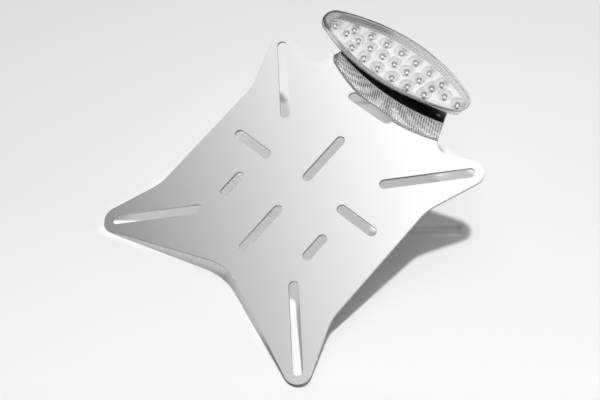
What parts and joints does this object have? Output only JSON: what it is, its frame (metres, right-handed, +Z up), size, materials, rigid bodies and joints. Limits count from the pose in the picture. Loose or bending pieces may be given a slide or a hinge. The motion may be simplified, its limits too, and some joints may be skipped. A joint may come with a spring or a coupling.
{
  "type": "motorbike tail tidy",
  "caption": "Motorbike tail tidy: a star-shaped, slotted, polished steel number plate holder with a clear almond-shaped LED tail light on its neck.",
  "frame": {"origin": "on the ground under the middle of the bounding box", "axes": "+X to the right across the number plate, +Y along the ground towards the light and the mounting tongue, +Z up"},
  "size_m": [0.177, 0.206, 0.0828],
  "materials": {
    "polished_steel": "polished to a soft mirror",
    "clear_plastic": "clear moulded plastic, ribbed on its walls",
    "led_clear": "clear epoxy",
    "reflector_chrome": "bright metallised plastic",
    "black_plastic": "satin black moulding",
    "rubber_black": "matt rubber",
    "board_white": "white solder mask",
    "chip_black": "black chip with bright ends",
    "zinc_steel": "bright zinc plated"
  },
  "bodies": {
    "root": {"plate_holder": "polished_steel", "light_base": "black_plastic", "lens_seal": "rubber_black", "lens_body": "clear_plastic", "lens_front": "clear_plastic", "reflector": "reflector_chrome", "circuit_board": "board_white", "resistors": "chip_black", "reflector_screws": "zinc_steel", "base_pad": "rubber_black", "mounting_studs": "zinc_steel", "stud_washers": "zinc_steel", "stud_nuts": "zinc_steel", "cable_grommet": "rubber_black", "led_01": "led_clear", "led_02": "led_clear", "led_03": "led_clear", "led_04": "led_clear", "led_05": "led_clear", "led_06": "led_clear", "led_07": "led_clear", "led_08": "led_clear", "led_09": "led_clear", "led_10": "led_clear", "led_11": "led_clear", "led_12": "led_clear", "led_13": "led_clear", "led_14": "led_clear", "led_15": "led_clear", "led_16": "led_clear", "led_17": "led_clear", "led_18": "led_clear", "led_19": "led_clear", "led_20": "led_clear", "led_21": "led_clear", "led_22": "led_clear", "led_23": "led_clear", "led_24": "led_clear"}
  },
  "joints": []
}
